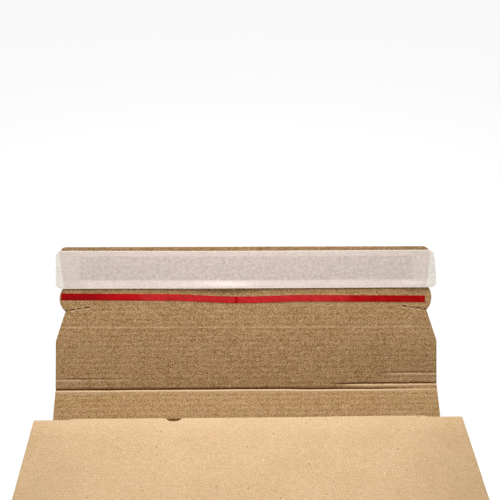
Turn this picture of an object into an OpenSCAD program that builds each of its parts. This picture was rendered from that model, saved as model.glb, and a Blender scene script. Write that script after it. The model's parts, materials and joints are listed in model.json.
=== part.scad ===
// Corrugated mailer box: one die-cut board folded into a shallow tray with a fixed top panel, a rear
// wall and a lid that lean back open, a red tear strip, and an adhesive strip under a release liner.
// The box stands on its base. +X is to the right, +Y runs to the back, where the box opens, and the
// origin is the centre of the underside.

/* [Board] */
// Thickness of the corrugated board
board_t = 1.5; // [1.2:0.1:2]
// Depth of a fold line below the inside face of the board
fold_depth = 0.5; // [0.3:0.1:0.6]
// Play between the rolled edge of a fold and the panel that turns round it
fold_play = 0.1; // [0.05:0.05:0.3]

/* [Box] */
// Outside width of the box
box_w = 250; // [200:1:320]
// Outside depth of the box, from front to back
box_d = 170; // [130:1:240]
// Height to the outside of the top panel
box_h = 57; // [40:1:80]
// Length of each dust flap, from the inside of its end wall
dust_flap_l = 48; // [25:1:60]
// How much each slanted side takes off the free edge of a dust flap
dust_flap_taper = 14; // [4:1:25]
// Air between the dust flaps and the top panel
dust_flap_gap = 0.3; // [0.1:0.1:1]
// Clearance between a free edge and the wall that it meets
edge_clear = 0.8; // [0.4:0.1:2]

/* [Top panel edge] */
// How far the two ends of the free edge are cut back
relief_in = 1; // [0.4:0.1:2]
// Length of each cut-back end
relief_l = 19.5; // [10:0.5:40]
// Length of the slant between a cut-back end and the rest of the edge
relief_slant = 3; // [1:0.5:8]
// Distance of the dent from the middle of the edge
dent_at = 43.6; // [20:0.1:60]
// Length of the dent along the edge
dent_l = 9.3; // [5:0.1:14]
// Depth of the dent
dent_in = 1.6; // [0.5:0.1:2.5]

/* [Lid] */
// Length of the lid panel, from its fold to the tear zone
lid_panel_l = 51.3; // [40:0.1:70]
// Length of the tear zone
tear_zone_l = 16.8; // [14:0.1:20]
// Length of the glue flap
glue_flap_l = 25.3; // [24:0.1:34]
// How far each side of the neck is cut in
neck_in = 6.5; // [4:0.1:9]
// Length of the slanted cut that leads into the neck
neck_run = 20; // [10:0.5:25]
// How far each half-round tear tab stands out of the neck
tab_out = 3.4; // [2:0.1:3.9]
// How far each side of the glue flap is cut in at the tear zone
glue_flap_in = 6.5; // [4.5:0.1:7]
// How much each side of the glue flap widens towards its free edge
glue_flap_flare = 3.4; // [0.5:0.1:4]
// Radius of the corners of the glue flap
corner_r = 3.4; // [2:0.1:5]
// Width and depth of the two nicks in the free edge
nick = 0.8; // [0.4:0.1:1.2]
// Distance of the nicks from the middle of the free edge
nick_at = 91; // [70:1:95]

/* [Perforations] */
// Number of cuts in each row
perf_count = 4; // [3:1:6]
// Length of each cut
perf_l = 3.1; // [2:0.1:3.6]
// Distance from one cut to the next
perf_pitch = 4.95; // [4.5:0.05:6]
// How far the first cut, which is open at the side of the neck, runs into it
perf_open = 1.4; // [0.5:0.1:2]
// Width of each cut
perf_w = 0.5; // [0.3:0.1:0.8]
// Slope of the rows towards the tear strip
perf_slope = 8; // [0:1:12]

/* [Score lines] */
// Depth of a score line
score_depth = 0.3; // [0.1:0.1:0.5]
// Width of a score line
score_w = 1.2; // [0.8:0.1:2]
// Distance from the lid fold to the first score line, at the right
score_1_at = 3.4; // [2.8:0.1:5]
// Length of the first score line
score_1_l = 63; // [20:1:90]
// Distance from the lid fold to the second score line, at the left
score_2_at = 7.2; // [6.6:0.1:8.5]
// Length of the second score line
score_2_l = 42; // [20:1:90]
// Distance from the lid fold to the third score line, at the right
score_3_at = 10.1; // [9:0.1:14]
// Length of the third score line
score_3_l = 30; // [20:1:90]

/* [Tear strip] */
// Width of the tear strip
tear_strip_w = 4.4; // [3:0.1:6]
// Thickness of the tear strip
tear_strip_t = 0.12; // [0.1:0.02:0.2]
// Distance between the tear zone's near edge and the strip's middle line, at the left end
tear_strip_at = 9.6; // [7:0.1:10]
// How far the strip dips near the middle
tear_strip_dip = 1.3; // [0:0.1:2]
// Length of the dip along the strip
tear_strip_dip_l = 96; // [60:1:120]
// Distance of the dip's lowest place from the middle, to the left
tear_strip_dip_at = 6; // [-30:1:30]
// How far the strip drifts from its left end to its right end
tear_strip_drift = 2.2; // [0:0.1:3]
// Distance between the left end of the strip and the tip of the tab
tear_strip_left = 1.3; // [1.2:0.1:4]
// Distance between the right end of the strip and the tip of the tab
tear_strip_right = 4.2; // [2:0.1:8]

/* [Adhesive and liner] */
// Width of the adhesive strip
adhesive_w = 15.5; // [10:0.5:17]
// Length of the adhesive strip
adhesive_l = 218; // [150:1:225]
// How far the adhesive strip lies from the middle line of the liner, towards the free edge
adhesive_off = 0.9; // [-1:0.1:1]
// Thickness of the adhesive strip
adhesive_t = 0.2; // [0.1:0.05:0.4]
// Width of the release liner
liner_w = 24.8; // [20:0.1:26]
// Thickness of the release liner
liner_t = 0.15; // [0.1:0.05:0.3]
// How far each end of the liner stands over the side of the glue flap
liner_over = 2.4; // [1:0.1:2.5]
// Distance between the free edge of the glue flap and the liner
liner_in = 2.4; // [1:0.1:4]
// Air between the liner and the top panel when the lid is shut
liner_clear = 0.25; // [0.1:0.05:0.6]

/* [Rest position] */
// Angle by which the rear wall leans back
rear_wall_lean = 59; // [0:1:80]
// Angle by which the lid leans back past the rear wall, less than 0 where it leans less
lid_lean = -23; // [-80:1:12]

/* [Hidden] */
$fn = 96;
eps = 0.05;
light_kraft = [0.89, 0.75, 0.58];
dark_kraft = [0.64, 0.50, 0.34];
tape_red = [0.72, 0.11, 0.12];
glue_cream = [0.80, 0.74, 0.70];
liner_white = [0.90, 0.86, 0.84];

// The rolled outside of a fold touches the outer face of the board.
fold_r = board_t - fold_depth;
inner_x = box_w / 2 - board_t;
front_y = -box_d / 2 + board_t;
rear_y = box_d / 2 - board_t;
free_y = rear_y - edge_clear;
dust_top = box_h - board_t - dust_flap_gap;

// The rear fold lies in the base's far edge, and the lid fold in the top edge of the rear wall.
rear_fold_y = box_d / 2 - fold_r;
rear_fold_z = fold_r;
lid_clear = adhesive_t + liner_t + liner_clear;
rear_wall_l = box_h + lid_clear + fold_depth - rear_fold_z;

neck_half = box_w / 2 - neck_in;
tab_tip = neck_half + tab_out;
tear_end = lid_panel_l + tear_zone_l;
lid_end = tear_end + glue_flap_l;
flap_half_near = box_w / 2 - glue_flap_in;
flap_half_far = flap_half_near + glue_flap_flare;
tab_r = (pow(tear_zone_l / 2, 2) + pow(tab_out, 2)) / (2 * tab_out);
liner_half = flap_half_far + liner_over;
liner_mid = lid_end - liner_in - liner_w / 2;
strip_steps = 40;

// Carries an outline drawn in the Y-Z plane along X, centred, over the given width.
module along_x(width) {
    rotate([90, 0, 90])
        linear_extrude(width, center = true) children();
}

// Carries an outline drawn in the X-Z plane along Y, from the first position to the second.
module along_y(from, to) {
    translate([0, to, 0])
        rotate([90, 0, 0])
            linear_extrude(to - from) children();
}

// The outside of a right-angled fold, a quarter round about the inside corner.
module fold_quarter(corner, towards) {
    translate(corner)
        intersection() {
            circle(board_t);
            scale(towards) square(board_t);
        }
}

// The rolled edge at the end of a panel: half a bead below the fold line.
module fold_bead() {
    intersection() {
        circle(fold_r);
        translate([-fold_r, -fold_r]) square([2 * fold_r, fold_r]);
    }
}

// The slant that a fold cuts from the inside face of a panel, towards -1 or +1.
module fold_bevel(towards) {
    polygon([[0, 0], [towards * fold_depth, fold_depth + eps], [-towards * eps, fold_depth + eps]]);
}

// The start of a panel that turns round the fold line of the panel before it.
module fold_start_cut() {
    circle(fold_r + fold_play);
    fold_bevel(1);
}

// Cross-section of the base, with the rear fold's bead in its far edge.
module base_section() {
    difference() {
        translate([front_y, 0]) square([rear_fold_y - front_y, board_t]);
        translate([rear_fold_y, rear_fold_z]) fold_bevel(-1);
    }
    translate([rear_fold_y, rear_fold_z]) fold_bead();
}

// Cross-section of the front wall and its two folds.
module front_section() {
    fold_quarter([front_y, board_t], [-1, -1]);
    translate([-box_d / 2, board_t]) square([board_t, box_h - 2 * board_t]);
    fold_quarter([front_y, box_h - board_t], [-1, 1]);
}

// The top panel lies on the dust flaps. The ends of its free edge are cut back a little.
module top_panel() {
    half = box_w / 2;
    step = half - relief_l;
    dent_r = (pow(dent_l / 2, 2) + pow(dent_in, 2)) / (2 * dent_in);
    translate([0, 0, box_h - board_t])
        linear_extrude(board_t)
            difference() {
                polygon([
                    [-half, front_y], [half, front_y],
                    [half, free_y - relief_in], [step, free_y - relief_in],
                    [step - relief_slant, free_y], [relief_slant - step, free_y],
                    [-step, free_y - relief_in], [-half, free_y - relief_in]
                ]);
                translate([-dent_at, free_y + dent_r - dent_in]) circle(dent_r);
            }
}

// Cross-section of the right end wall, with the fold to the base and the fold to its dust flap.
module end_wall_section() {
    fold_quarter([inner_x, board_t], [1, -1]);
    translate([inner_x, board_t]) square([board_t, dust_top - 2 * board_t]);
    fold_quarter([inner_x, dust_top - board_t], [1, 1]);
}

module right_end() {
    along_y(front_y + edge_clear, free_y) end_wall_section();
    translate([0, 0, dust_top - board_t])
        linear_extrude(board_t)
            polygon([
                [inner_x, front_y + edge_clear], [inner_x, free_y],
                [inner_x - dust_flap_l, free_y - dust_flap_taper],
                [inner_x - dust_flap_l, front_y + edge_clear + dust_flap_taper]
            ]);
}

module box_body() {
    color(light_kraft) {
        along_x(2 * inner_x) base_section();
        along_x(box_w) front_section();
        top_panel();
        right_end();
        mirror([1, 0, 0]) right_end();
    }
}

// Places a panel that lies flat, with its fold line on X and its inside up, at the rear fold.
module at_rear_fold() {
    translate([0, rear_fold_y, rear_fold_z])
        rotate([90 - rear_wall_lean, 0, 0]) children();
}

// Places a panel in the same way at the lid fold.
module at_lid_fold() {
    at_rear_fold()
        translate([0, rear_wall_l, 0])
            rotate([-lid_lean, 0, 0]) children();
}

module rear_wall() {
    color(dark_kraft)
        at_rear_fold()
            along_x(box_w) {
                difference() {
                    translate([0, -fold_r]) square([rear_wall_l, board_t]);
                    fold_start_cut();
                    translate([rear_wall_l, 0]) fold_bevel(-1);
                }
                translate([rear_wall_l, 0]) fold_bead();
            }
}

// Outline of the lid from its fold to the end of the neck.
module lid_panel_outline() {
    half = box_w / 2;
    slant_start = lid_panel_l - neck_run;
    polygon([
        [-half, 0], [half, 0], [half, slant_start], [neck_half, lid_panel_l],
        [neck_half, tear_end], [-neck_half, tear_end], [-neck_half, lid_panel_l], [-half, slant_start]
    ]);
}

// The two half-round tabs at the ends of the tear zone.
module tear_tabs() {
    for (side = [-1, 1])
        intersection() {
            translate([side * (tab_tip - tab_r), lid_panel_l + tear_zone_l / 2]) circle(tab_r);
            translate([side * (neck_half + tab_out / 2 - eps), lid_panel_l + tear_zone_l / 2])
                square([tab_out + 2 * eps, tear_zone_l], center = true);
        }
}

// Outline of the glue flap, a little wider at its free edge, with round corners.
module glue_flap_outline() {
    far = flap_half_far;
    difference() {
        union() {
            polygon([
                [-flap_half_near, tear_end], [flap_half_near, tear_end],
                [far, lid_end - corner_r], [far - corner_r, lid_end],
                [corner_r - far, lid_end], [-far, lid_end - corner_r]
            ]);
            for (side = [-1, 1])
                translate([side * (far - corner_r), lid_end - corner_r]) circle(corner_r);
        }
        for (side = [-1, 1])
            translate([side * nick_at, lid_end])
                polygon([[-nick / 2, eps], [0, -nick], [nick / 2, eps]]);
    }
}

// One row of cuts, from the side of the neck inwards and towards the tear strip.
module perforation_row() {
    translate([neck_half, lid_panel_l])
        rotate(-perf_slope)
            for (i = [0 : perf_count - 1])
                translate([-perf_open - i * perf_pitch, 0]) square([perf_l, perf_w]);
}

// A V-shaped groove in the inside of the lid, at a distance from the fold, from one side to another.
module score_line(distance, from, to) {
    translate([(from + to) / 2, distance, fold_depth])
        along_x(to - from)
            polygon([[-score_w / 2, eps], [0, -score_depth], [score_w / 2, eps]]);
}

module lid() {
    half = box_w / 2;
    color(dark_kraft)
        at_lid_fold()
            difference() {
                translate([0, 0, -fold_r])
                    linear_extrude(board_t)
                        difference() {
                            union() {
                                lid_panel_outline();
                                tear_tabs();
                                glue_flap_outline();
                            }
                            perforation_row();
                            mirror([1, 0]) perforation_row();
                        }
                along_x(box_w + 2 * eps) fold_start_cut();
                score_line(score_1_at, half - score_1_l, half + eps);
                score_line(score_2_at, -half - eps, score_2_l - half);
                score_line(score_3_at, half - score_3_l, half + eps);
            }
}

// The strip's middle line drifts towards the fold and dips near the middle.
function strip_u(i) = -tab_tip + tear_strip_left
    + (2 * tab_tip - tear_strip_left - tear_strip_right) * i / strip_steps;
function dip_turn(u) = min(180, abs(u + tear_strip_dip_at) / tear_strip_dip_l * 360);
function strip_v(u) = lid_panel_l + tear_strip_at
    - tear_strip_dip * (1 + cos(dip_turn(u))) / 2
    - tear_strip_drift * (u + tab_tip) / (2 * tab_tip);

module tear_strip() {
    near = [for (i = [0 : strip_steps]) [strip_u(i), strip_v(strip_u(i)) - tear_strip_w / 2]];
    far = [for (i = [strip_steps : -1 : 0]) [strip_u(i), strip_v(strip_u(i)) + tear_strip_w / 2]];
    end_u = strip_u(strip_steps);
    color(tape_red)
        at_lid_fold()
            translate([0, 0, fold_depth])
                linear_extrude(tear_strip_t)
                    difference() {
                        polygon(concat(near, far));
                        translate([end_u + tear_strip_w * 0.3, strip_v(end_u)]) circle(tear_strip_w * 0.4);
                    }
}

module adhesive_strip() {
    color(glue_cream)
        at_lid_fold()
            translate([-adhesive_l / 2, liner_mid + adhesive_off - adhesive_w / 2, fold_depth])
                cube([adhesive_l, adhesive_w, adhesive_t]);
}

module release_liner() {
    color(liner_white)
        at_lid_fold()
            translate([0, liner_mid, fold_depth + adhesive_t])
                linear_extrude(liner_t) {
                    square([2 * (liner_half - corner_r), liner_w], center = true);
                    square([2 * liner_half, liner_w - 2 * corner_r], center = true);
                    for (x = [-1, 1], y = [-1, 1])
                        translate([x * (liner_half - corner_r), y * (liner_w / 2 - corner_r)])
                            circle(corner_r);
                }
}

box_body();
rear_wall();
lid();
tear_strip();
adhesive_strip();
release_liner();
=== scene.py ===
# The looks of a corrugated mailer box. Each panel is real fluted board: two liners with a wave between
# them that shows at the cut ends. Shapes are worked out in millimetres on the flat sheet and then placed.
# The sheet has three coordinates: s across the flutes, a along them, and f through the board, from 0 at
# its outside to 1 at its inside. On the lid and its strips, v stands for s and u for a.
import json
import math

import bmesh
import bpy
import numpy as np
from mathutils import Matrix, Vector

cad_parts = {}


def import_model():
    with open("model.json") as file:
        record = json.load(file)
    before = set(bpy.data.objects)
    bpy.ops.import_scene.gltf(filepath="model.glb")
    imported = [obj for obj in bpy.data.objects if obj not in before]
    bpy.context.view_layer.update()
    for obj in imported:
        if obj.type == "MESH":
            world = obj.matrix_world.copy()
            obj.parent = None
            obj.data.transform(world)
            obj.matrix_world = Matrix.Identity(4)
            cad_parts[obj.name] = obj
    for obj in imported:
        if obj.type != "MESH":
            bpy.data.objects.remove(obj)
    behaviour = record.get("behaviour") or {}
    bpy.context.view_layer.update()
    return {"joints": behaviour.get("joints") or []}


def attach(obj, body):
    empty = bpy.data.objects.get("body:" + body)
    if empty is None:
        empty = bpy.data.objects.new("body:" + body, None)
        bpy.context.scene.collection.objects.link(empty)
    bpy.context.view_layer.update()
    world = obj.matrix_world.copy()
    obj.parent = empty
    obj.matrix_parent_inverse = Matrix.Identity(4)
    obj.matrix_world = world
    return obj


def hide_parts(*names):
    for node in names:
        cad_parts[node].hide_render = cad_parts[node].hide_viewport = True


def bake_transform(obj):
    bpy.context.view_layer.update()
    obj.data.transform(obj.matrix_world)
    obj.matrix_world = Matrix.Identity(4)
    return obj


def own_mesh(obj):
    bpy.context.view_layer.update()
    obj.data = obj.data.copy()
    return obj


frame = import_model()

# Units
MM = 0.001

# The board, with shares of its thickness, and the gap that keeps the wave off the liners
board_t = 1.5
flute_pitch = 3.5
liner_share = 0.17
medium_share = 0.06
flute_gap = 0.012
washboard_h = 0.022

# The open flutes at a cut side, and the hollow where the cut is along a flute
pocket_l = 4.0
hollow_top = 0.62
hollow_l = 3.0

# Folds, with the seam before the fold line, and the bend and the groove after it
fold_inner_r = 0.5
fold_depth = 0.5
seam_in = 3.0
bend_l = 2.0
groove_in = 0.35
groove_half = 0.45

# Crushed board: how much thinner and how wide, beside a fold and along a cut side
press_share = 0.16
press_half = 2.4
crush_in = 0.16
crush_half = 0.6

# Distances between the rows of a mesh
coarse_step = flute_pitch / 4
middle_step = flute_pitch / 6
close_step = flute_pitch / 8
fold_step = 0.125
crease_step = 0.2

# Where panels start on the sheet, so that no two have the same pattern
end_sheet = 500.0
wall_sheet = 1000.0

# The box
box_w = 250.0
box_d = 170.0
box_h = 57.0
edge_clear = 0.8
dust_flap_l = 48.0
dust_flap_taper = 14.0
dust_flap_gap = 0.3
dust_flap_root = 2.0
dust_flap_droop = 0.5
inner_x = box_w / 2 - board_t
base_half = inner_x - fold_inner_r
front_y = -box_d / 2 + board_t
free_y = box_d / 2 - board_t - edge_clear
dust_top = box_h - board_t - dust_flap_gap

# The top panel: its free edge with a relief at both ends, a dent, and its sag
relief_in = 1.0
relief_at = 102.5
relief_slant = 3.0
edge_run = 7.0
edge_out = 0.4
dent_at = -44.0
dent_l = 8.8
dent_in = 2.2
sag_h = 0.22

# The lid
lid_heading = 54.0
lid_panel_l = 51.3
tear_zone_l = 16.8
glue_flap_l = 25.3
neck_in = 6.5
neck_run = 20.0
tab_out = 3.4
tab_r = ((tear_zone_l / 2) ** 2 + tab_out ** 2) / (2 * tab_out)
glue_flap_in = 6.5
glue_flap_flare = 3.4
corner_r = 3.4
nick = 0.8
nick_at = 91.0
neck_half = box_w / 2 - neck_in
tear_end = lid_panel_l + tear_zone_l
lid_end = tear_end + glue_flap_l
lid_bow = 0.45
late_h = 0.9
late_l = 3.35

# The photo's uneven sides of the lid
left_neck_out = 0.3
left_tab_out = 0.45
left_flap_out = 1.7
left_corner_out = 0.3
right_corner_in = 2.0

# Creases of the lid: place above the fold, depth, height of the lip below, and how it wanders, with the
# amount, the wavelength and the seed
creases = {
    "main": (0.25, 0.95, 0.17, 0.1, 60.0, 1),
    "upper": (3.05, 0.75, 0.16, 0.1, 45.0, 2),
    "left": (7.25, 0.26, 0.09, 0.22, 22.0, 3),
    "right": (10.1, 0.28, 0.11, 0.22, 26.0, 4),
}
flank_half = 0.36
lip_below = 1.5
lip_half = 0.8

# Painted light and shade, with a few real marks: from -1 for full painted shade to 1 for full painted light,
# and the crease's depth and lip that reach these
# Painted highlight along the crease lips, and painted shade in the creases
highlight_lip = 0.17
shade_depth = 0.85
lip_highlight = 0.85
fade_highlight = 0.42
fade_l = 2.2
# Painted shade towards the top panel's sides, painted light near its free edge, and painted shade in its
# hollow
shade_right = 0.15
shade_left = 0.09
edge_light = 0.14
hollow_shade = 0.4
line_at = 40.5
line_lightness = 0.42
line_half = 0.42
# Painted shade along the lid's free edge, and one real dark spot on it
lid_edge_shade = 0.22
spot_at = 13.4
spot_dark = 0.7

# Perforations, with each cut's start, length and share of the full width, from the neck inwards
perf_w = 0.95
perf_slit = 0.04
perf_lean = 0.6
perf_slope = 8.0
burr_h = 0.2
burr_highlight = 0.85
perforations = {
    -1: ((-1.6, 3.3, 0.9), (-6.0, 3.4, 1.0), (-9.9, 2.1, 0.95), (-15.9, 3.4, 1.2)),
    1: ((-1.8, 3.5, 0.9), (-6.9, 3.5, 1.0), (-11.3, 3.2, 0.9), (-16.3, 3.0, 1.35)),
}

# Strips on the lid
strip_w = 4.35
strip_t = 0.12
strip_at = 9.6
strip_dip = 1.3
strip_dip_l = 96.0
strip_dip_at = -6.0
strip_drift = 2.35
strip_left = -121.5
strip_right = 117.7
crack_at = -7.2
adhesive_l = 218.0
adhesive_w = 15.5
adhesive_t = 0.2
liner_w = 24.8
liner_t = 0.15
liner_half = 125.0
liner_slant = 1.7
liner_mid = lid_end - 2.4 - liner_w / 2
liner_near = liner_mid - liner_w / 2
liner_far = liner_mid + liner_w / 2
adhesive_mid = liner_mid + 0.9

# Stage and light
floor_half = 6.0
floor_grey = 0.86
floor_white = 0.72
floor_glow = 1.2
ambient = 0.32


def fold_line(joint_name):
    """Where a fold lies in the Y-Z plane, in millimetres, from the frame's joint."""
    joint = next(j for j in frame["joints"] if j["name"] == joint_name)
    return np.array(joint["pos_m"][1:]) / MM


rear_fold = fold_line("rear_fold")
lid_fold = fold_line("lid_fold")
rear_wall_l = float(np.linalg.norm(lid_fold - rear_fold))
wall_heading = math.degrees(math.atan2(*(lid_fold - rear_fold)[::-1]))
lid_sheet = wall_sheet + rear_wall_l


# Shapes of curves
def smooth(t):
    """Rises from 0 to 1 with level ends."""
    t = np.clip(t, 0.0, 1.0)
    return t * t * (3.0 - 2.0 * t)


def rise(x, start, run):
    """0 up to the start, then smoothly up to 1 over the run."""
    return smooth((x - start) / run)


def fall(x, end, run):
    """1 until the run before the end, then smoothly down to 0 at the end."""
    return smooth((end - x) / run)


def bell(x, width):
    """A bump of height 1 about 0."""
    return np.exp(-((x / width) ** 2))


def hump(x, half):
    """A bump of height 1 about 0 that ends at the half width."""
    return np.clip(1 - (x / half) ** 2, 0.0, 1.0)


def rounded(x, r):
    """How far a round corner of radius r has cut in, x past its start."""
    return r - np.sqrt(np.clip(r ** 2 - np.clip(x, 0, r) ** 2, 0, None))


def wander(x, wavelength, seed):
    """A smooth wander between about -1 and 1 along x, the same in each run."""
    total = 0.0
    for turn, share in enumerate((0.5, 0.3, 0.2)):
        total = total + share * np.sin(2 * np.pi * x * (1 + 0.73 * turn) / wavelength + seed * (1.7 + turn))
    return total


def follow(start, heading, moves, s):
    """Points and headings at distances s along straights and arcs, given as (length, turn in degrees)."""
    s = np.asarray(s, float)
    x, y, angle = (np.empty_like(s) for part in range(3))
    at, facing, done = np.array(start, float), math.radians(heading), 0.0
    for number, (length, turn) in enumerate(moves):
        last = number == len(moves) - 1
        here = (s >= done) | (number == 0)
        if not last:
            here = here & (s < done + length)
        step = s[here] - done
        bend = math.radians(turn) / length
        angle[here] = facing + bend * step
        if turn:
            x[here] = at[0] + (np.sin(angle[here]) - math.sin(facing)) / bend
            y[here] = at[1] - (np.cos(angle[here]) - math.cos(facing)) / bend
            end = facing + bend * length
            at = at + np.array([math.sin(end) - math.sin(facing), math.cos(facing) - math.cos(end)]) / bend
            facing = end
        else:
            x[here] = at[0] + step * math.cos(facing)
            y[here] = at[1] + step * math.sin(facing)
            at = at + length * np.array([math.cos(facing), math.sin(facing)])
        done += length
    return x, y, angle


# The surface of the board
def washboard(s, f):
    """The inner liner dips a little between the flutes."""
    return -washboard_h * f * (1 + np.cos(2 * np.pi * s / flute_pitch))


def press(s, folds):
    """The board is crushed thinner beside its folds."""
    return 1 - sum(press_share * bell(s - at, press_half) for at in folds)


def crush(s, a, f, span):
    """The die squeezes the board thinner along its cut sides: up on the outside, down on the inside."""
    first, last = span(s)
    return crush_in * bell(np.minimum(a - first, last - a), crush_half) * (1 - 2 * f)


def widening(s, start, run):
    """The two sides where the base, between the end walls, widens to the full box."""
    half = base_half + (box_w / 2 - base_half) * rise(s, start, run)
    return -half, half


# Placing the folded box
fold_arc = fold_inner_r * math.pi / 2
base_l = rear_fold[0] - seam_in - front_y
wrap_moves = (
    (base_l - fold_inner_r, 0),
    (fold_arc, -90),
    (box_h - 2 * board_t - 2 * fold_inner_r, 0),
    (fold_arc, -90),
    (free_y - front_y - fold_inner_r, 0),
)
wrap_l = sum(length for length, turn in wrap_moves)
front_fold_s = wrap_moves[0][0] + fold_arc / 2
top_fold_s = front_fold_s + wrap_moves[2][0] + fold_arc


def free_edge_cut(a):
    """How far the top panel's free edge is cut back at its two ends. At the right it also stands out."""
    return relief_in * rise(np.abs(a), relief_at, relief_slant) - edge_out * rise(a, 30.0, 40.0)


def dent_cut(a):
    """How far the outer liner is knocked back at the dent."""
    return dent_in * np.sqrt(hump(a - dent_at, dent_l / 2))


def box_shading(a, s, f):
    """Painted shade in the free edge's hollow and at the dent, painted shade towards the top panel's sides,
    and painted light near its free edge.
    """
    outside = f < 0.01
    side_shade = shade_right * rise(a, 70.0, 50.0) + shade_left * rise(-a, 70.0, 50.0)
    side_shade = side_shade * outside * (s > top_fold_s)
    lighter_band = edge_light * outside * rise(s, wrap_l - 15.0, 13.0)
    deep = hollow_l + 0.5
    hollow = rise(f, 0.1, 0.05) * fall(f, 0.95, 0.1) * (s > wrap_l - deep)
    on_face = (f > 0.9) | (f < 0.1)
    dent = fall(np.abs(a - dent_at), dent_l / 2 + 0.4, 0.8) * (s > wrap_l - np.where(on_face, 0.01, deep))
    return lighter_band - side_shade - np.maximum(hollow_shade * hollow, dent)


def wrap_place(s, a, f):
    """Base, front wall and top panel, from the seam in front of the rear fold to the free edge."""
    cut_back = free_edge_cut(a) + dent_cut(a) * fall(f, liner_share, liner_share)
    s_cut = s - rise(s, wrap_l - edge_run, edge_run) * cut_back
    y, z, heading = follow((rear_fold[0] - seam_in, board_t), 180, wrap_moves, s_cut)
    out = (1 - f) * board_t * press(s, (front_fold_s, top_fold_s)) - washboard(s, f)
    out = out - crush(s, a, f, wrap_span)
    out = out - sag_h * rise(s, top_fold_s, 30.0) * hump(a, box_w / 2) * (1 - 0.7 * rise(a, 0.0, 60.0))
    return np.stack([a + 0 * y, y - np.sin(heading) * out, z + np.cos(heading) * out], -1)


def wrap_span(s):
    """The two sides of the base, front wall and top panel."""
    return widening(s, front_fold_s - 0.5, 0.8)


end_moves = (
    (fold_arc, -90),
    (dust_top - 2 * board_t - 2 * fold_inner_r, 0),
    (fold_arc, -90),
    (dust_flap_l - fold_inner_r, 0),
)
end_wall_l = sum(length for length, turn in end_moves[:3])
end_half = (free_y - front_y - edge_clear) / 2
end_mid = (free_y + front_y + edge_clear) / 2


def end_place(side):
    """An end wall and its dust flap: s runs from front to back, and a up the wall and over the flap."""
    def place(s, a, f):
        out_x, z, heading = follow((fold_inner_r - inner_x, board_t), 180, end_moves, a)
        out = (1 - f) * board_t * press(a, (0.5, end_wall_l - 0.5)) - washboard(s, f)
        droop = dust_flap_droop * rise(a, end_wall_l, dust_flap_l)
        x = -side * (out_x - np.sin(heading) * out)
        return np.stack([x, end_mid + s + 0 * x, z + np.cos(heading) * out - droop], -1)
    return place


def end_span(s):
    """The dust flap's slanted ends shorten it towards the front and the back."""
    full_l = dust_flap_l - dust_flap_root - fold_inner_r
    reach = dust_flap_root + full_l * np.clip((end_half - np.abs(s)) / dust_flap_taper, 0, 1)
    return 0.0 * s, end_wall_l + reach


# Placing the panels that hinge
def hinged(fold, before, after, u, v, n):
    """A point v past a fold line, n above it, where the board turns from one heading to another."""
    heading = np.radians(before + (after - before) * smooth(v / bend_l))
    y = fold[0] + v * np.cos(heading) - n * np.sin(heading)
    z = fold[1] + v * np.sin(heading) + n * np.cos(heading)
    return np.stack([u + 0 * y, y, z], -1)


def wall_place(s, a, f):
    """The rear wall, from the seam in the base to the seam below the lid fold."""
    groove = groove_in * bell(s - 0.1, groove_half) * f
    n = fold_depth - (1 - f) * board_t + washboard(s, f) - groove + crush(s, a, f, wall_span)
    return hinged(rear_fold, 0.0, wall_heading, a, s, n)


def wall_span(s):
    """The two sides of the rear wall."""
    return widening(s, -0.9, 1.3)


def wall_shading(a, s, f):
    """Painted light in the middle of the inside, and painted shade towards the sides."""
    return f * (0.09 * bell(a, 70.0) - 0.035)


def crease_strengths(u):
    """For each crease: how far it lies off its place, its strength, and the strength of its lip."""
    main_at = -0.38 * rise(u, 26.0, 12.0)
    main = 1 - 0.75 * rise(u, 84.0, 34.0)
    main_lip = 1.0 + 0.25 * rise(u, -50.0, 30.0) - 0.85 * rise(u, 66.0, 44.0)
    main_lip = main_lip * (1 + 0.14 * wander(u, 30.0, 21))
    upper_at = 0.15 * rise(u, 60.0, 60.0)
    upper = rise(u, 54.0, 14.0)
    upper_lip = rise(u, 56.0, 22.0) * (1 + 0.22 * wander(u, 18.0, 22))
    left = 1 - 0.45 * rise(u, -108.0, 8.0) - 0.55 * rise(u, -86.0, 14.0)
    left = left * (0.8 + 0.6 * wander(u, 6.0, 23))
    right = rise(u, 86.0, 14.0) * (0.9 + 0.4 * wander(u, 9.0, 24))
    return {
        "main": (main_at, main, main_lip),
        "upper": (upper_at, upper, upper_lip),
        "left": (0.0, left, left),
        "right": (0.0, right, right),
    }


def crease_lines(u):
    """Each crease's place, depth and strength, and the height and strength of the lip below it."""
    strengths = crease_strengths(u)
    for name, (at, depth, lip, amount, wavelength, seed) in creases.items():
        off_place, strength, lip_strength = strengths[name]
        yield at + off_place + amount * wander(u, wavelength, seed), depth, strength, lip, lip_strength


def lid_relief(u, v):
    """Depth of the creases in the inside of the lid: steep above, with a gentler flank up to a lip below."""
    total = 0.0
    for at, depth, strength, lip, lip_strength in crease_lines(u):
        off = v - at
        flank = np.where(off > 0, flank_half, flank_half + 1.2 * lip)
        total = total - strength * depth * bell(off, flank)
        total = total + lip_strength * lip * bell(off + lip_below, lip_half)
    return total


def crease_shading(u, v):
    """Painted highlight along the lips, fading downwards, and painted shade in the creases."""
    total = 0.0
    for at, depth, strength, lip, lip_strength in crease_lines(u):
        off = v - at
        fade = np.where(off < -1.2, fade_highlight * np.exp((off + 1.2) / fade_l), 0.0)
        lightening = np.maximum(lip_highlight * bell(off + 1.25, 0.7), fade)
        total = total + lip_strength * (lip / highlight_lip) * lightening
        total = total - strength * (depth / shade_depth) * bell(off, 0.40)
    return total


def lid_shading_and_spot(u, v, f):
    """On the inside: the creases' painted light and shade, a lighter line across the lid, painted shade along
    the free edge, and one dark spot.
    """
    off = v - line_at + 0.003 * u - 0.15 * wander(u, 70.0, 25)
    lighter_band = line_lightness * bell(off, line_half) * (1 + 0.7 * wander(u, 6.0, 26))
    edge_shade = lid_edge_shade * rise(v, lid_end - 3.4, 1.0)
    spot = spot_dark * bell(u - spot_at, 1.3) * bell(v - lid_end + 0.2, 0.5)
    return f * (crease_shading(u, v) + lighter_band - edge_shade - spot)


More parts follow.
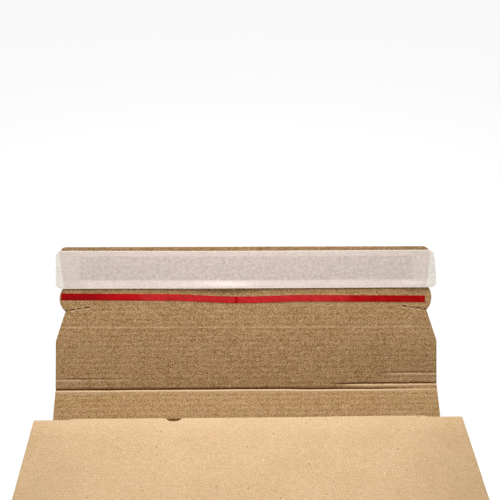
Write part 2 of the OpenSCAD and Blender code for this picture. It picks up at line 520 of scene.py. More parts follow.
def lid_warp(u, v):
    """The lid bows a little, and at the right it folds one flute higher than at the left."""
    bow = -lid_bow * np.sin(np.pi * np.clip(v / lid_end, 0, 1)) * (0.6 + 0.4 * wander(u, 260.0, 5))
    late = np.clip(v / late_l, 0, 1) * (1 - rise(v, late_l, 30.0)) * rise(u, 58.0, 16.0)
    return bow - late_h * late


def on_lid(u, v, n):
    """A point of the lid at rest, n above its fold line, with the lid's warp."""
    return hinged(lid_fold, wall_heading, lid_heading, u, v, n + lid_warp(u, v))


def lid_place(s, a, f):
    """The lid, from the seam below its fold to the free edge with its two nicks."""
    nick_cut = nick * np.clip(1 - np.abs(np.abs(a) - nick_at) / (nick / 2), 0, 1)
    v = s - nick_cut * rise(s, lid_end - 1.2, 1.2)
    n = fold_depth - (1 - f) * board_t + washboard(s, f) + lid_relief(a, s) * f
    return on_lid(a, v, n + crush(s, a, f, lid_span))


def lid_span(s):
    """The two sides of the lid: slanted neck, half-round tabs, and the glue flap with its round corners."""
    along_neck = s - lid_panel_l + neck_run
    half = box_w / 2 - neck_in * np.clip(along_neck / neck_run, 0, 1)
    from_mid = s - lid_panel_l - tear_zone_l / 2
    in_tear_zone = (s > lid_panel_l) & (s < tear_end)
    half = np.where(in_tear_zone, neck_half + tab_out - rounded(np.abs(from_mid), tab_r), half)
    flap = box_w / 2 - glue_flap_in + glue_flap_flare * (s - tear_end) / glue_flap_l
    half = np.where(s > tear_end, flap - rounded(s - lid_end + corner_r, corner_r), half)
    left_out = left_neck_out * np.clip(along_neck / 3.0, 0, 1)
    left_out = left_out + left_tab_out * hump(from_mid, tear_zone_l / 2)
    on_flap = left_flap_out - (left_flap_out - left_corner_out) * rise(s, lid_end - 5.0, 2.5)
    left_out = np.where(s > tear_end, on_flap, left_out)
    return -half - left_out, half - right_corner_in * rise(s, lid_end - 4.5, 4.5)


# Building meshes. A board's side has 8 points, and its face has more, closest by the sides.
INSIDE, OUTSIDE, EDGE = 0, 1, 2
side_n = 8
edge_steps = np.array([0.0, 0.015, 0.045, 0.12, 0.35, 0.68])


def across(*stretches):
    """Places along a line, given as stretches of (from, to, step)."""
    found = [np.linspace(start, end, math.ceil((end - start) / step) + 1) for start, end, step in stretches]
    return np.unique(np.round(np.concatenate(found), 4))


def section(rows, span, core, phase):
    """A fluted board's outline at each row: where each point lies along the flutes and through the board."""
    first, last = (np.broadcast_to(side, rows.shape)[:, None] for side in span(rows))
    left = first + (core[0] - first) * edge_steps
    right = last - (last - core[-1]) * edge_steps[::-1]
    face = np.hstack([left, np.broadcast_to(core, (len(rows), len(core))), right])
    swing = 0.5 - liner_share - medium_share - flute_gap
    wave = (0.5 + swing * np.cos(2 * np.pi * (rows + phase) / flute_pitch))[:, None]
    flat = 0 * wave
    level = np.hstack([flat + 1 - liner_share] * 2 + [wave + medium_share] * 2
                      + [wave - medium_share] * 2 + [flat + liner_share] * 2)
    inwards = pocket_l * np.array([0, 1, 1, 0, 0, 1, 1, 0])
    along = np.hstack([face, last - inwards, face[:, ::-1], first + inwards])
    through = np.hstack([0 * face + 1, level, 0 * face, level[:, ::-1]])
    return along, through


def between_rings(one, other):
    """The faces between two lines of points, or between two grids of them."""
    return np.stack([one[:-1], one[1:], other[1:], other[:-1]], -1).reshape(-1, 4)


def flute_cap(points, row, inwards, along, start):
    """Closes a sheet along a flute. The hollow under the outer liner stays open between the two ends."""
    width = len(along) // 2 - side_n
    columns = np.arange(1, width - 1)
    rim = points.add(row, along[columns], liner_share)
    deep_rim = points.add(row + inwards * hollow_l, along[columns], liner_share)
    deep_top = points.add(row + inwards * hollow_l, along[columns], hollow_top)
    top = points.add(row, along[columns], hollow_top)
    outer = start + width + side_n + (width - 1 - columns)
    inner = start + columns
    rings = (outer, rim, deep_rim, deep_top, top, inner)
    faces = []
    for one, other in zip(rings, rings[1:]):
        faces += between_rings(one, other).tolist()
    for end in (0, -1):
        faces.append([int(ring[end]) for ring in rings[1:5]])
    right = list(range(start + width - 2, start + width + side_n + 2))
    left = list(range(start + 2 * width + side_n - 2, start + 2 * (width + side_n))) + [start, start + 1]
    faces.append(right + [int(rim[-1]), int(top[-1])])
    faces.append(left + [int(top[0]), int(rim[0])])
    return faces


class Points:
    """The points of a sheet, kept in its own coordinates until it is placed."""

    def __init__(self):
        self.parts = []
        self.count = 0

    def add(self, s, a, f):
        """Keeps more points and returns their numbers."""
        s, a, f = np.broadcast_arrays(s, a, f)
        self.parts.append(np.stack([s.ravel(), a.ravel(), f.ravel()], -1))
        first = self.count
        self.count += s.size
        return np.arange(first, self.count)

    def all(self):
        """All the points so far, in the order of their numbers."""
        return np.concatenate(self.parts)


def board(place, span, rows, core, phase=0.0, wear_and_shading=None):
    """One sheet of corrugated board as closed mesh data."""
    along, through = section(rows, span, core, phase)
    points = Points()
    points.add(rows[:, None], along, through)
    ring = along.shape[1]
    width = ring // 2 - side_n
    here = np.arange(len(rows) * ring).reshape(len(rows), ring)
    faces = between_rings(here, np.roll(here, -1, axis=1)).tolist()
    ring_looks = np.full(ring, EDGE)
    ring_looks[:width - 1] = INSIDE
    ring_looks[width + side_n:2 * width + side_n - 1] = OUTSIDE
    looks = np.tile(ring_looks, len(rows) - 1).tolist()
    for number, inwards in ((0, 1), (len(rows) - 1, -1)):
        capped = flute_cap(points, rows[number], inwards, along[number], number * ring)
        faces += capped
        looks += [EDGE] * len(capped)
    s, a, f = points.all().T
    shade = wear_and_shading(a, s, f) if wear_and_shading else 0 * s
    return place(s, a, f), np.stack([a, s + phase, f * board_t], -1), shade, faces, looks


def film(place, rows, ends, columns, low, high):
    """A thin closed sheet over a grid of rows v and columns, between two heights over the board."""
    first, last = ends(rows)
    share = np.linspace(0, 1, columns)
    u = first[:, None] + (last - first)[:, None] * share
    v = np.broadcast_to(rows[:, None], u.shape)
    count = u.size
    grid = np.arange(count).reshape(u.shape)
    top = np.stack([grid[:-1, :-1], grid[:-1, 1:], grid[1:, 1:], grid[1:, :-1]], -1).reshape(-1, 4)
    border = np.concatenate([grid[0], grid[1:, -1], grid[-1, -2::-1], grid[-2:0:-1, 0]])
    after = np.roll(border, -1)
    sides = np.stack([border, after, after + count, border + count], -1)
    faces = np.concatenate([top, top + count, sides]).tolist()
    points = np.concatenate([place(u, v, height(u, v)).reshape(-1, 3) for height in (high, low)])
    sheet = np.tile(np.stack([u.ravel(), v.ravel(), 0 * u.ravel()], -1), (2, 1))
    return points, sheet, 0 * sheet[:, 0], faces, [0] * len(faces)


def cutters(cuts, place):
    """Wedges through the board, one for each cut: open on the inside, and leaning down to a slit outside."""
    # Each level's height over the fold line, its width, and how far it lies up the lid
    levels = (
        (-board_t - 0.6, perf_slit, -perf_lean),
        (fold_depth - board_t + 0.3, perf_slit, -perf_lean),
        (fold_depth - 0.35, 0.7 * perf_w, 0.0),
        (fold_depth + 0.8, perf_w, 0.0),
    )
    points, faces = [], []
    for near, length, share in cuts:
        first = len(points)
        for n, width, lean in levels:
            for x, y in ((near, -0.5), (near + length, -0.5), (near + length, 0.5), (near, 0.5)):
                points.append(place(x, y * share * width + perf_w / 2 + lean, n))
        faces += [[end + k for k in range(4)] for end in (first, first + 12)]
        for low in (first, first + 4, first + 8):
            faces += [[low + k, low + (k + 1) % 4, low + 4 + (k + 1) % 4, low + 4 + k] for k in range(4)]
    points = np.array(points)
    # The wedges' walls take full painted shade into the cuts
    return points, points, 0 * points[:, 0] - 1, faces, [EDGE] * len(faces)


def corner_values(mesh, name, kind, values):
    """Keeps a value of each point on the corners of its faces, where cuts through the mesh keep it too."""
    layer = mesh.attributes.new(name, kind, "CORNER")
    at = np.empty(len(mesh.loops), np.int32)
    mesh.loops.foreach_get("vertex_index", at)
    layer.data.foreach_set("vector" if values.ndim == 2 else "value", values[at].astype(np.float32).ravel())


def link(name, data):
    """A new object with its data, in the scene."""
    made = bpy.data.objects.new(name, data)
    bpy.context.scene.collection.objects.link(made)
    return made


def mesh_piece(name, sheets, materials):
    """Joins closed sheets into one piece, in metres, with their sheet coordinates and their painted light and
    shade.
    """
    points, coordinates, wear_and_shading, faces, slots = [], [], [], [], []
    for place, sheet, shade, found, looks in sheets:
        start = sum(len(part) for part in points)
        points.append(place)
        coordinates.append(sheet)
        wear_and_shading.append(shade)
        faces += [[start + corner for corner in face] for face in found]
        slots += looks
    mesh = bpy.data.meshes.new(name)
    mesh.from_pydata((np.concatenate(points) * MM).tolist(), [], faces)
    for material in materials:
        mesh.materials.append(material)
    mesh.polygons.foreach_set("material_index", np.array(slots, np.int32))
    whole = bmesh.new()
    whole.from_mesh(mesh)
    bmesh.ops.recalc_face_normals(whole, faces=whole.faces)
    whole.to_mesh(mesh)
    whole.free()
    corner_values(mesh, "sheet", "FLOAT_VECTOR", np.concatenate(coordinates))
    corner_values(mesh, "wear_and_shading", "FLOAT", np.concatenate(wear_and_shading))
    return link(name, mesh)


def soften(piece, degrees=32):
    """Shades the faces smooth and keeps the cut edges crisp."""
    piece.data.shade_smooth()
    piece.data.set_sharp_from_angle(angle=math.radians(degrees))


def cut_through(piece, cutter):
    """Takes the cutter's wedges out of the piece's mesh, and removes the cutter."""
    cut = piece.modifiers.new("cuts", "BOOLEAN")
    cut.operation = "DIFFERENCE"
    cut.solver = "EXACT"
    cut.object = cutter
    bpy.context.view_layer.update()
    seen = piece.evaluated_get(bpy.context.evaluated_depsgraph_get())
    mesh = bpy.data.meshes.new_from_object(seen)
    piece.modifiers.clear()
    old = piece.data
    piece.data = mesh
    bpy.data.meshes.remove(old)
    spent = cutter.data
    bpy.data.objects.remove(cutter)
    bpy.data.meshes.remove(spent)


def add_to(piece, other):
    """Joins another piece's mesh into this one, with its attributes."""
    with bpy.context.temp_override(active_object=piece, selected_editable_objects=[piece, other]):
        bpy.ops.object.join()


# Materials
def add_node(tree, kind, inputs=None, **settings):
    """A shader node with its settings and inputs, which are values or other nodes' sockets."""
    made = tree.nodes.new("ShaderNode" + kind)
    for name, value in settings.items():
        setattr(made, name, value)
    for key, value in (inputs or {}).items():
        if isinstance(value, bpy.types.NodeSocket):
            tree.links.new(value, made.inputs[key])
        else:
            made.inputs[key].default_value = value
    return made


def linear(red, green, blue):
    """A colour as the eye reads it, 0 to 255, turned into the renderer's own numbers."""
    parts = (part / 255 for part in (red, green, blue))
    return tuple(part / 12.92 if part <= 0.04045 else ((part + 0.055) / 1.055) ** 2.4 for part in parts)


class Look:
    """A material under construction, whose patterns lie on the sheet and are measured in millimetres."""

    def __init__(self, name, roughness, specular=0.5):
        self.material = bpy.data.materials.new(name)
        self.material.use_nodes = True
        self.tree = self.material.node_tree
        self.surface = self.tree.nodes["Principled BSDF"]
        self.surface.inputs["Roughness"].default_value = roughness
        self.surface.inputs["Specular IOR Level"].default_value = specular
        self.sheet = self.add("Attribute", attribute_name="sheet").outputs["Vector"]

    def add(self, kind, inputs=None, **settings):
        """A node of this material."""
        return add_node(self.tree, kind, inputs, **settings)

    def maths(self, operation, *values):
        """A sum on numbers and sockets."""
        return self.add("Math", dict(enumerate(values)), operation=operation).outputs[0]

    def along_and_across(self):
        """The sheet's coordinates along the flutes and across them."""
        parts = self.add("SeparateXYZ", {0: self.sheet})
        return parts.outputs[0], parts.outputs[1]

    def wear_and_shading(self):
        """Painted light and shade in the mesh, with a few real marks: above 0 painted light, below 0 painted
        shade.
        """
        return self.add("Attribute", attribute_name="wear_and_shading").outputs["Fac"]

    def distance(self, value, place):
        """How far a coordinate is from a place."""
        return self.maths("ABSOLUTE", self.maths("SUBTRACT", value, place))

    def noise(self, scale, detail=2.0, stretch=(1.0, 1.0, 1.0), roughness=0.5):
        """A noise of about 0 to 1, with so many features a millimetre along and across the flutes."""
        size = tuple(scale * part for part in stretch)
        placed = self.add("Mapping", {"Vector": self.sheet, "Scale": size})
        inputs = {"Vector": placed.outputs[0], "Scale": 1.0, "Detail": detail, "Roughness": roughness}
        return self.add("TexNoise", inputs).outputs[0]

    def cells(self, scale, **settings):
        """So many spots a millimetre: how far the nearest one's middle is, and its shade."""
        placed = self.add("Mapping", {"Vector": self.sheet, "Scale": (scale, scale, scale)})
        spot = self.add("TexVoronoi", {"Vector": placed.outputs[0], "Scale": 1.0}, **settings)
        return spot.outputs["Distance"], self.add("SeparateColor", {0: spot.outputs["Color"]}).outputs[0]

    def vary(self, level, noise, amount):
        """Moves a level up and down with a noise, by up to about the amount."""
        return self.maths("MULTIPLY_ADD", noise, 2 * amount, self.maths("SUBTRACT", level, amount))

    def between(self, value, low, high):
        """0 at low, 1 at high, smooth between. Low may be the larger one."""
        inputs = {"Value": value, "From Min": low, "From Max": high}
        return self.add("MapRange", inputs, interpolation_type="SMOOTHSTEP").outputs[0]

    def flecks(self, scale):
        """Small spots of bright and dark pulp, about 0.5 between them."""
        distance, shade = self.cells(scale)
        inside = self.between(distance, 0.24, 0.12)
        return self.maths("MULTIPLY_ADD", self.maths("SUBTRACT", shade, 0.5), inside, 0.5)

    def specks(self, scale):
        """Dark specks of all sizes up to about 1 mm, one to a cell of the sheet."""
        distance, size = self.cells(scale, voronoi_dimensions="2D")
        reach = self.maths("MULTIPLY_ADD", self.maths("MULTIPLY", size, size), 0.34 * scale, 0.12 * scale)
        return self.between(self.maths("DIVIDE", distance, reach), 1.25, 0.75)

    def mix(self, share, one, other):
        """Goes from one colour to another."""
        one, other = ((*colour, 1.0) if isinstance(colour, tuple) else colour for colour in (one, other))
        return self.add("Mix", {0: share, 6: one, 7: other}, data_type="RGBA").outputs[2]

    def brighten(self, colour, level):
        """The colour times the level."""
        return self.add("VectorMath", {0: colour, "Scale": level}, operation="SCALE").outputs[0]

    def lighten(self, tone, level, colour):
        """Adds the same step of light to red, green and blue, as the eye sees it, for a level above 1."""
        step = tuple(colour[0] * (part / colour[0]) ** 0.545 for part in colour)
        darkest = (0.02, 0.012, 0.004)
        inputs = {0: self.maths("SUBTRACT", level, 1.0), 1: step, 2: tone}
        lit = self.add("VectorMath", inputs, operation="MULTIPLY_ADD").outputs[0]
        return self.add("VectorMath", {0: lit, 1: darkest}, operation="MAXIMUM").outputs[0]

    def paint(self, colour):
        """Gives the surface its colour."""
        self.tree.links.new(colour, self.surface.inputs["Base Color"])

    def bump(self, height, distance):
        """Gives the surface its fine relief, with the distance in millimetres."""
        made = self.add("Bump", {"Height": height, "Distance": distance * MM, "Strength": 1.0})
        self.tree.links.new(made.outputs[0], self.surface.inputs["Normal"])


def pulp_level(look, fine, fibre_s, fibre_a, grain, fibres, lines):
    """How light the pulp is, about 1: clouds, grain, fibres, flecks, and flute lines of painted shading,
    calmer off the lid.
    """
    level = look.vary(1.0, look.noise(0.035, 3.0), 0.10)
    level = look.vary(level, look.noise(0.3, 2.0), 0.10)
    for noise, amount in ((fine, grain), (fibre_s, fibres[0]), (fibre_a, fibres[1])):
        level = look.vary(level, noise, amount)
    level = look.vary(level, look.flecks(0.4), 0.22 * grain)
    s = look.along_and_across()[1]
    # Flute lines: painted shading of the liner's dips between the flutes
    wave = look.maths("COSINE", look.maths("MULTIPLY", s, 2 * math.pi / flute_pitch))
    patchy = look.maths("MULTIPLY", look.noise(0.06, 2.0), -2 * lines)
    level = look.maths("MAXIMUM", look.maths("MULTIPLY_ADD", wave, patchy, level), 0.3)
    off_lid = look.between(s, lid_sheet + 3.0, lid_sheet - 3.0)
    calm = look.maths("MULTIPLY_ADD", off_lid, -0.18, 1.0)
    return look.maths("MULTIPLY_ADD", look.maths("SUBTRACT", level, 1.0), calm, 1.0)


def kraft(name, colour, warm, grain, fibres, lines, lightening, speck_and_shade):
    """Kraft liner: cloudy pulp in two tones, with light grains, dark specks, and the painted light and shade
    held in the mesh.
    """
    look = Look(name, 0.88, 0.25)
    fine = look.noise(1.8, 2.0, roughness=0.8)
    fibre_s = look.noise(1.0, 2.0, stretch=(1.6, 0.28, 1.0))
    fibre_a = look.noise(1.0, 2.0, stretch=(0.22, 1.5, 1.0))
    level = pulp_level(look, fine, fibre_s, fibre_a, grain, fibres, lines)
    tone = look.mix(look.between(look.noise(0.11, 3.0), 0.35, 0.65), colour, warm)
    tone = look.lighten(tone, level, colour)
    tone = look.mix(look.maths("MULTIPLY", look.between(level, 1.1, 2.2), 0.25), tone, lightening)
    tone = look.mix(look.maths("MULTIPLY", look.specks(0.06), 0.85), tone, speck_and_shade)
    # Painted light from the mesh goes towards the light tone, painted shade towards the dark one
    wear_and_shading = look.wear_and_shading()
    tone = look.mix(look.maths("MINIMUM", look.maths("MAXIMUM", wear_and_shading, 0.0), 0.85), tone, lightening)
    tone = look.mix(look.maths("MINIMUM", look.maths("MULTIPLY", wear_and_shading, -1.0), 0.9), tone, speck_and_shade)
    look.paint(tone)
    look.bump(look.maths("ADD", fine, fibre_a), 0.05)
    return look.material


def cut_edge():
    """The cut ends of the liners and of the fluting: rough brown pulp in thin layers, with painted shade in
    the hollows and cuts.
    """
    look = Look("cut_edge", 0.95, 0.1)
    layers = look.noise(1.0, 3.0, stretch=(0.9, 0.9, 9.0))
    tone = look.mix(look.between(layers, 0.3, 0.7), linear(150, 116, 78), linear(196, 160, 116))
    look.paint(look.mix(look.maths("MULTIPLY", look.wear_and_shading(), -1.0), tone, linear(92, 60, 16)))
    look.bump(layers, 0.08)
    return look.material


def red_film():
    """Red tape: deeper red towards its ends, lighter along the middle, painted shade at its edges, painted
    glints and shade along its wrinkles, and one crack.
    """
    look = Look("red_film", 0.5, 0.12)
    u, off = look.along_and_across()
    slanted = look.add("CombineXYZ", {0: look.maths("MULTIPLY_ADD", off, 1.4, u), 1: off}).outputs[0]
    wrinkles = look.add("TexNoise", {"Vector": slanted, "Scale": 0.3, "Detail": 3.0}).outputs[0]
    far = look.vary(look.distance(u, strip_dip_at), look.noise(0.05, 2.0), 60.0)
    tone = look.mix(look.between(far, 96.0, 52.0), linear(184, 0, 4), linear(216, 44, 46))
    tone = look.mix(look.between(look.distance(u, crack_at), 1.6, 0.8), tone, linear(190, 8, 12))
    near_left = look.mix(look.between(u, -66.0, -76.0), tone, linear(208, 12, 22))
    tone = look.mix(look.between(u, -82.0, -104.0), near_left, linear(172, 0, 4))
    # Painted shade towards the edges, and painted glints and shade along the wrinkles
    at_edge = look.between(look.maths("ABSOLUTE", off), strip_w / 2 + 1.2, strip_w / 2 - 0.6)
    look.paint(look.brighten(tone, look.maths("MULTIPLY", look.vary(1.0, wrinkles, 0.45), at_edge)))
    look.bump(wrinkles, 0.10)
    return look.material


def glue():
    """Pale tacky film with blotches where it has pulled away from the liner."""
    look = Look("glue_film", 0.45)
    blotches = look.noise(0.5, 4.0, roughness=0.65)
    look.paint(look.mix(look.between(blotches, 0.35, 0.65), linear(196, 180, 170), linear(216, 204, 196)))
    look.bump(blotches, 0.05)
    return look.material


def over_air(look, u, v):
    """Where the liner stands out past the slanted sides of the glue flap."""
    slant = glue_flap_flare / glue_flap_l
    board_side = look.maths("MULTIPLY_ADD", v, slant, box_w / 2 - glue_flap_in - tear_end * slant)
    at_left = look.maths("LESS_THAN", u, 0.0)
    board_side = look.maths("MULTIPLY_ADD", at_left, 1.2, board_side)
    return look.between(look.maths("SUBTRACT", look.maths("ABSOLUTE", u), board_side), -0.3, 0.3)


def liner_tone(look):
    """The liner's colour over the adhesive, past its edges, past its ends, over air with painted light
    through the paper, and at its own edges.
    """
    u, v = look.along_and_across()
    blotches = look.between(look.noise(0.42, 4.0, roughness=0.7), 0.38, 0.62)
    tone = look.mix(blotches, linear(220, 203, 192), linear(234, 220, 212))
    ragged = look.vary(0.0, look.noise(0.35, 4.0), 0.9)
    off_glue = look.maths("ADD", look.distance(v, adhesive_mid), ragged)
    past_edge = look.between(off_glue, adhesive_w / 2 - 0.35, adhesive_w / 2 + 0.35)
    tone = look.mix(past_edge, tone, linear(242, 225, 216))
    past_end = look.between(look.maths("ABSOLUTE", u), adhesive_l / 2 - 0.6, adhesive_l / 2 + 1.0)
    tone = look.mix(past_end, tone, linear(237, 222, 211))
    # Painted light through the paper where it stands out over air
    tone = look.mix(over_air(look, u, v), tone, linear(255, 249, 239))
    near_edge = look.between(v, liner_near + 1.3, liner_near + 0.3)
    far_edge = look.between(v, liner_far - 1.2, liner_far - 0.3)
    return look.mix(look.maths("MAXIMUM", near_edge, far_edge), tone, linear(255, 246, 235))


def liner_paper():
    """Thin paper with faint fibres and streaks, its translucency painted into its colour."""
    look = Look("liner_paper", 0.42, 0.3)
    tone = liner_tone(look)
    fibres = look.noise(1.0, 3.0, stretch=(0.5, 0.9, 1.0))
    streaks = look.noise(1.0, 2.0, stretch=(0.05, 0.8, 1.0))
    level = look.vary(look.vary(1.0, fibres, 0.26), look.noise(0.16, 2.0), 0.08)
    level = look.vary(level, streaks, 0.06)
    look.paint(look.brighten(tone, level))
    look.bump(fibres, 0.03)
    return look.material


kraft_outside = kraft(
    "kraft_outside", colour=linear(215, 182, 138), warm=linear(217, 183, 141), grain=1.17,
    fibres=(0.12, 0.15), lines=0.006, lightening=linear(244, 216, 178), speck_and_shade=linear(120, 84, 46)
)
kraft_inside = kraft(
    "kraft_inside", colour=linear(191, 153, 104), warm=linear(194, 154, 108), grain=2.2,
    fibres=(0.03, 0.24), lines=0.055, lightening=linear(240, 208, 166), speck_and_shade=linear(84, 54, 22)
)
board_looks = (kraft_inside, kraft_outside, cut_edge())


# The pieces
def folded_box():
    """Base, front wall, top panel, end walls and dust flaps."""
    rows = across(
        (0.0, front_fold_s - 0.5, coarse_step),
        (front_fold_s - 0.5, front_fold_s + 0.5, fold_step),
        (front_fold_s + 0.5, top_fold_s - 0.5, middle_step),
        (top_fold_s - 0.5, top_fold_s + 0.5, fold_step),
        (top_fold_s + 0.5, wrap_l, middle_step),
    )
    # Closer together at the two reliefs and at the dent
    core = across(
        (-106.0, -101.0, 1.7), (-101.0, -50.0, 12.0), (-49.0, -39.0, 0.85), (-37.0, 101.0, 15.0),
        (101.0, 106.0, 1.7)
    )
    sheets = [board(wrap_place, wrap_span, rows, core, wear_and_shading=box_shading)]
    end_rows = across((-end_half, end_half, coarse_step))
    # Closer together at the lower and the upper fold
    end_core = across(
        (0.3, 2.0, 0.34), (2.0, end_wall_l - 1.6, 12.0), (end_wall_l - 1.6, end_wall_l - 0.1, 0.3)
    )
    for side in (-1, 1):
        sheets.append(board(end_place(side), end_span, end_rows, end_core, phase=side * end_sheet))
    piece = mesh_piece("box_board", sheets, board_looks)
    soften(piece)
    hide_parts("box_body")
    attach(piece, "box")


def rear_wall_board():
    """The rear wall, with the strip of base before its fold."""
    rows = across((-seam_in, 3.0, crease_step), (3.0, rear_wall_l - seam_in, close_step))
    core = across((-110.0, 110.0, 8.0))
    sheet = board(wall_place, wall_span, rows, core, wall_sheet, wall_shading)
    piece = mesh_piece("rear_wall_board", [sheet], board_looks)
    soften(piece)
    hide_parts("rear_wall")
    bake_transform(piece)


def on_row(side):
    """Places along the row of cuts at one side of the neck: x out from the neck, y up the lid."""
    slope = math.radians(perf_slope)

    def place(x, y, n):
        u = neck_half + x * math.cos(slope) + y * math.sin(slope)
        v = lid_panel_l - x * math.sin(slope) + y * math.cos(slope)
        return on_lid(side * u, np.float64(v), n)
    return place


def burr(place, near, length, seed):
    """The low ridge that the blade pushes up below a cut, with a painted highlight."""
    def ends(y):
        return near + 0.2 + 0 * y, near + length - 0.2 + 0 * y

    def low(x, y):
        return fold_depth - 0.3 + 0 * x

    def high(x, y):
        ridge = np.sqrt(hump(x - near - length / 2, length / 2)) * bell(y + 0.42, 0.38)
        return fold_depth - 0.06 + burr_h * ridge * (1 + 0.4 * wander(x, 1.7, seed))

    points, sheet, shade, faces, looks = film(place, np.linspace(-0.95, -0.02, 7), ends, 12, low, high)
    # The ridge gets a painted highlight
    return points, sheet, shade + burr_highlight, faces, [INSIDE] * len(faces)


def lid_sheet_data():
    """The lid's board before its cuts."""
    # The sides jump at the end of the tear zone, so no row lies on it
    jump = 0.02
    rows = across(
        (-seam_in, 13.0, crease_step), (13.0, lid_panel_l, close_step), (lid_panel_l, tear_end - jump, 0.4),
        (tear_end + jump, lid_end - corner_r, close_step), (lid_end - corner_r, lid_end, 0.2)
    )
    # Closer together at the two nicks and at the dark spot
    core = across(
        (-108.0, -92.0, 4.0), (-91.6, -90.4, 0.2), (-88.0, 12.0, 5.0), (12.0, 15.0, 0.6), (15.0, 88.0, 5.0),
        (90.4, 91.6, 0.2), (92.0, 108.0, 4.0)
    )
    return board(lid_place, lid_span, rows, core, lid_sheet, lid_shading_and_spot)


def lid_board():
    """The lid, with its two rows of cuts and the burrs below all but the outermost of them."""
    piece = mesh_piece("lid_board", [lid_sheet_data()], board_looks)
    burrs = []
    for side, cuts in perforations.items():
        cut_through(piece, mesh_piece("cutter", [cutters(cuts, on_row(side))], board_looks))
        for number, (near, length, share) in enumerate(cuts[1:]):
            burrs.append(burr(on_row(side), near, length, 40 + number + side))
    add_to(piece, mesh_piece("burrs", burrs, board_looks))
    soften(piece)
    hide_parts("lid")
    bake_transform(piece)


def strip_v(u):
    """The tear strip's middle line drifts towards the fold and dips near the middle."""
    tip = neck_half + tab_out
    turn = np.minimum(np.abs(u - strip_dip_at) / strip_dip_l * 2, 1) * np.pi
    dip = strip_dip * (1 + np.cos(turn)) / 2
    return lid_panel_l + strip_at - dip - strip_drift * (u + tip) / (2 * tip)


def tear_tape():
    """The red strip, laid with faint wrinkles across it and a notch in its right end."""
    def ends(off):
        notch = np.sqrt(np.clip((0.4 * strip_w) ** 2 - off ** 2, 0, None)) - 0.3 * strip_w
        return strip_left + 0 * off, strip_right - np.clip(notch, 0, None)

    def top(u, off):
        wrinkle = 0.05 * wander(u, 9.0, 6) * (1 + wander(u, 70.0, 7)) + 0.03 * wander(u + 2 * off, 4.0, 8)
        crown = 0.06 - 0.05 * (off / strip_w * 2) ** 2
        return fold_depth + strip_t + crown + wrinkle * bell(off, strip_w / 2)

    def place(u, off, n):
        return on_lid(u, strip_v(u) + off, n)

    rows = np.linspace(-strip_w / 2, strip_w / 2, 13)
    sheet = film(place, rows, ends, 420, lambda u, off: top(u, off) - strip_t, top)
    piece = mesh_piece("tear_tape", [sheet], (red_film(),))
    soften(piece)
    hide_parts("tear_strip")
    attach(piece, "flap")


def adhesive_film():
    """The adhesive, a thin film with slightly uneven ends."""
    def ends(v):
        return 0.3 * wander(v, 5.0, 9) - adhesive_l / 2 + 0.3, adhesive_l / 2 - 0.3 + 0.3 * wander(v, 6.0, 10)

    def top(u, v):
        return fold_depth + adhesive_t - 0.03 + 0.02 * wander(u, 12.0, 11) * wander(v, 7.0, 12)

    rows = adhesive_mid + np.linspace(-adhesive_w / 2, adhesive_w / 2, 17)
    sheet = film(on_lid, rows, ends, 220, lambda u, v: fold_depth + 0 * u, top)
    piece = mesh_piece("adhesive_film", [sheet], (glue(),))
    soften(piece)
    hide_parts("adhesive_strip")
    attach(piece, "flap")


def liner_lift(u, v):
    """How far the liner's near edge and its two ends stand off the board."""
    past = fall(v, adhesive_mid - adhesive_w / 2, 5.0)
    near = 0.42 + 0.8 * bell(u + 16.0, 22.0) + 0.4 * bell(u - 112.0, 12.0) + 0.1 * wander(u, 40.0, 13)
    end = 0.35 * rise(np.abs(u), adhesive_l / 2 + 2.0, 12.0)
    return near * past + end * (1 - past)


def liner_frame():
    """The direction off the lid, and a point on the adhesive in metres."""
    heading = math.radians(lid_heading)
    on_adhesive = fold_depth + adhesive_t - lid_warp(0.0, liner_mid)
    anchor = on_lid(0.0, np.float64(liner_mid), on_adhesive) * MM
    return (0.0, -math.sin(heading), math.cos(heading)), tuple(anchor)


def release_liner():
    """The paper over the adhesive, with round corners and a slanted right end."""
    def ends(v):
        half = liner_half - rounded(np.abs(v - liner_mid) - liner_w / 2 + corner_r, corner_r)
        slant = liner_slant * np.clip((v - liner_near) / liner_w, 0, 1) ** 2
        return -half, half - slant

    def low(u, v):
        return fold_depth + adhesive_t + 0.01 + liner_lift(u, v)

    def place(u, v, n):
        lower = bell(u + 10.0, 70.0) * (0.16 * (v - liner_mid) / liner_w + 0.30)
        return on_lid(u, v - lower, n)

    corner = across((0.0, corner_r, 0.34)) - liner_w / 2
    rows = liner_mid + np.unique(np.concatenate([corner, -corner, across((-9.0, 9.0, 0.9))]))
    sheet = film(place, rows, ends, 260, low, lambda u, v: low(u, v) + liner_t)
    piece = mesh_piece("liner", [sheet], (liner_paper(),))
    soften(piece)
    off_lid, anchor = liner_frame()
    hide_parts("release_liner")
    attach(piece, "flap")
    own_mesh(piece)
    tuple(off_lid)
    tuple(anchor)


# Stage, light and camera
def white_where_seen(tree, strength):
    """The share of white for rays that come straight from the camera, off gloss or through film."""
    path = add_node(tree, "LightPath")
    total = path.outputs["Is Camera Ray"]
    for name in ("Is Glossy Ray", "Is Transmission Ray"):
        total = add_node(tree, "Math", {0: total, 1: path.outputs[name]}, operation="MAXIMUM").outputs[0]
    return add_node(tree, "Math", {0: total, 1: strength}, operation="MULTIPLY").outputs[0]


def whitened(tree, plain, white, strength, output):
    """Ends a tree with its plain shader, and with the white one where it is seen."""
    inputs = {0: white_where_seen(tree, strength), 1: plain.outputs[0], 2: white.outputs[0]}
    mixed = add_node(tree, "MixShader", inputs)
    add_node(tree, output, {"Surface": mixed.outputs[0]})


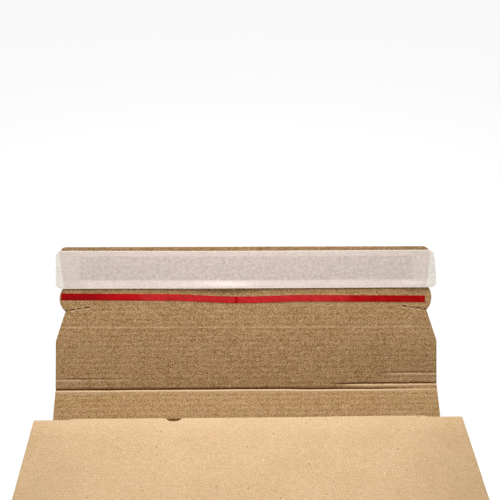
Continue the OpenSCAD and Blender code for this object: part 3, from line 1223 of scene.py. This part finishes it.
def floor():
    """A wide level surface that looks almost white and still takes the box's shadow."""
    corners = [(x * floor_half, y * floor_half, 0) for x, y in ((-1, -1), (1, -1), (1, 1), (-1, 1))]
    mesh = bpy.data.meshes.new("floor")
    mesh.from_pydata(corners, [], [(0, 1, 2, 3)])
    piece = link("floor", mesh)
    material = bpy.data.materials.new("floor")
    material.use_nodes = True
    tree = material.node_tree
    tree.nodes.clear()
    plain = add_node(tree, "BsdfDiffuse", {"Color": (floor_grey, floor_grey, floor_grey, 1.0)})
    white = add_node(tree, "Emission", {"Strength": floor_glow})
    whitened(tree, plain, white, floor_white, "OutputMaterial")
    mesh.materials.append(material)


def world():
    """A soft even light from all round that looks white to the camera."""
    made = bpy.data.worlds.new("studio")
    made.use_nodes = True
    tree = made.node_tree
    tree.nodes.clear()
    light = add_node(tree, "Background", {"Color": (1.0, 1.0, 1.0, 1.0), "Strength": ambient})
    white = add_node(tree, "Background", {"Color": (1.0, 1.0, 1.0, 1.0)})
    whitened(tree, light, white, 1.0, "OutputWorld")
    bpy.context.scene.world = made


def lamp(name, place, aim, size, watts):
    """A square soft lamp that faces the aim."""
    data = bpy.data.lights.new(name, "AREA")
    data.size = size
    data.energy = watts
    made = link(name, data)
    made.location = place
    made.rotation_euler = (Vector(place) - Vector(aim)).to_track_quat("Z", "Y").to_euler()


def camera():
    """The photograph's viewing angle. The frame is 500 pixels wide."""
    frame_px = 500.0
    focal_px = 786.4
    eye = (-0.01023, -0.23998, 0.39775)
    pitch, yaw, roll = 34.53, -1.65, 0.76
    data = bpy.data.cameras.new("camera")
    data.sensor_width = 36.0
    data.lens = focal_px / frame_px * data.sensor_width
    made = link("camera", data)
    turn = Matrix.Rotation(math.radians(yaw), 4, "Z") @ Matrix.Rotation(math.radians(90 - pitch), 4, "X")
    turn = turn @ Matrix.Rotation(math.radians(roll), 4, "Z")
    made.matrix_world = Matrix.Translation(eye) @ turn
    bpy.context.scene.camera = made


camera()
floor()
world()
lamp("key", place=(-0.012, 0.25, 0.45), aim=(0.0, 0.08, 0.03), size=0.22, watts=1.85)
folded_box()
rear_wall_board()
lid_board()
tear_tape()
adhesive_film()
release_liner()
bpy.context.scene.view_settings.view_transform = "Standard"
